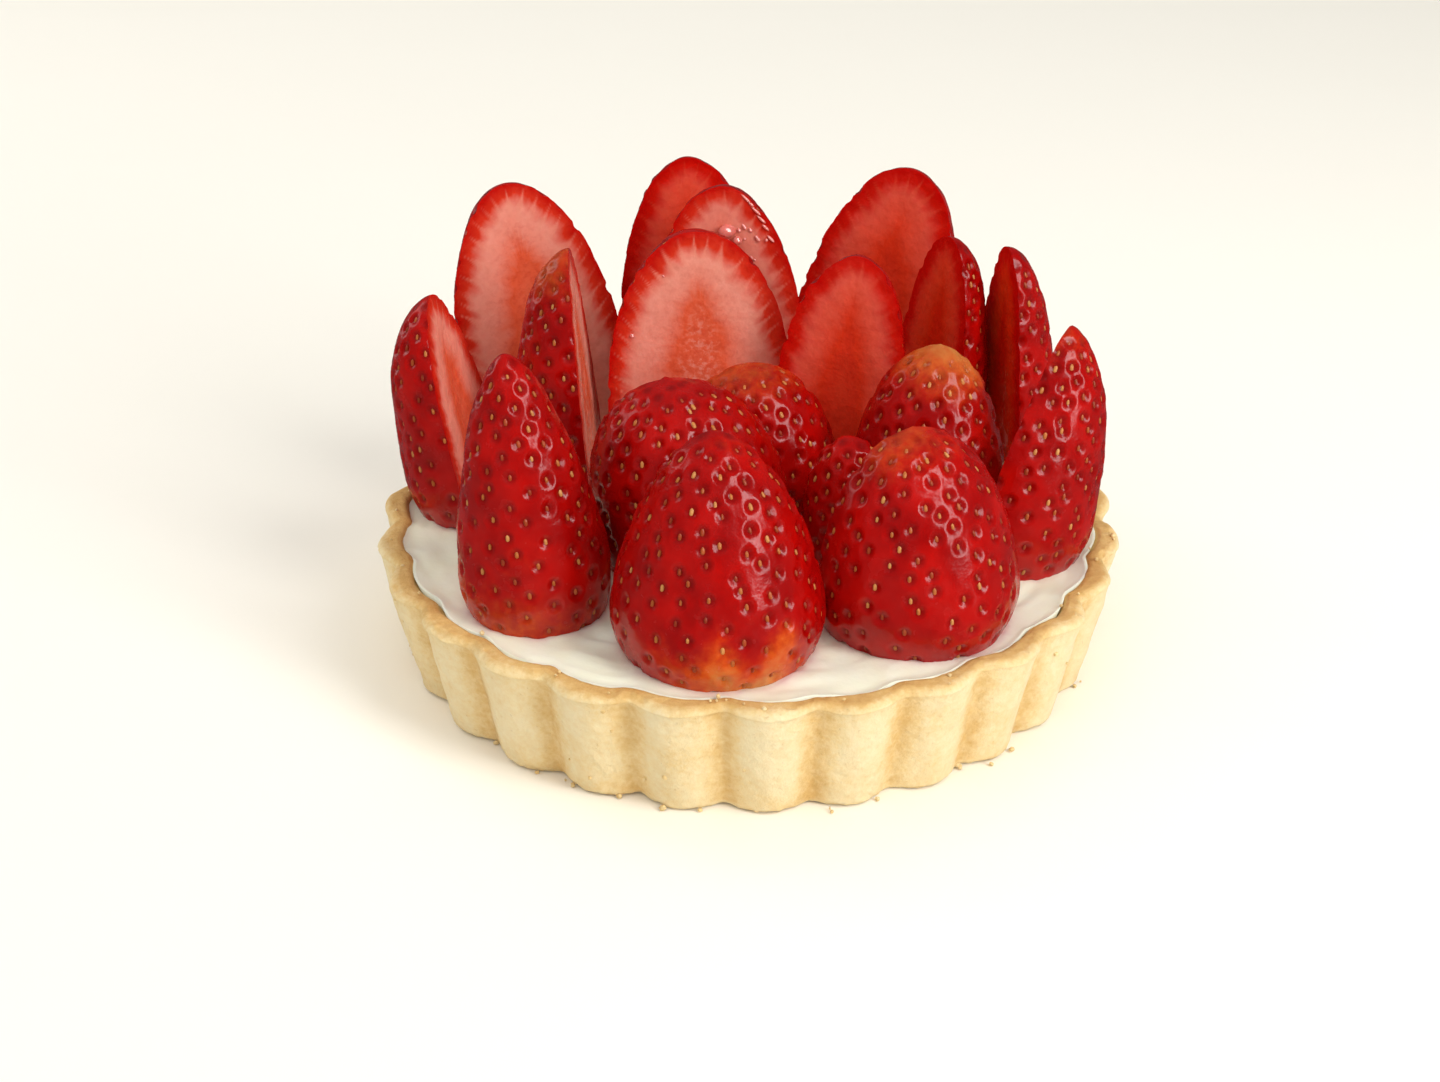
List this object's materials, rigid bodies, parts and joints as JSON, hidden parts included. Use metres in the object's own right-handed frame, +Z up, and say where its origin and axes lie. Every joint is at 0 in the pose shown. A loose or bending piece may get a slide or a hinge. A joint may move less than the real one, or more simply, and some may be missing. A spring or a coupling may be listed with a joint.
{
  "type": "strawberry tart",
  "caption": "Round shortcrust tart with fluted sides, filled with cream and topped with upright cut strawberries.",
  "frame": {"origin": "centre of the crust's flat base", "axes": "+Z up out of the tart, -Y towards its front, +X to its right seen from the front"},
  "size_m": [0.1193, 0.1195, 0.0658],
  "materials": {
    "pastry": "baked shortcrust, dry and fine-grained, golden at the rim",
    "cream": "set pastry cream, off-white with a soft sheen",
    "strawberry": "ripe strawberry, glazed red skin with seeds, and wet cut faces with a pink ring and an orange-red core"
  },
  "bodies": {
    "root": {"crust": "pastry", "cream": "cream", "strawberry_front": "strawberry", "strawberry_front_right": "strawberry", "strawberry_right": "strawberry", "strawberry_right_slim": "strawberry", "strawberry_back_right": "strawberry", "strawberry_back": "strawberry", "strawberry_back_left": "strawberry", "strawberry_left": "strawberry", "strawberry_front_left": "strawberry", "strawberry_inner_left": "strawberry", "strawberry_middle": "strawberry", "strawberry_middle_back": "strawberry", "strawberry_inner_right": "strawberry", "strawberry_inner_back_right": "strawberry", "strawberry_inner_front_left": "strawberry", "strawberry_inner_front": "strawberry", "strawberry_inner_small": "strawberry", "strawberry_inner_front_right": "strawberry"}
  },
  "joints": []
}
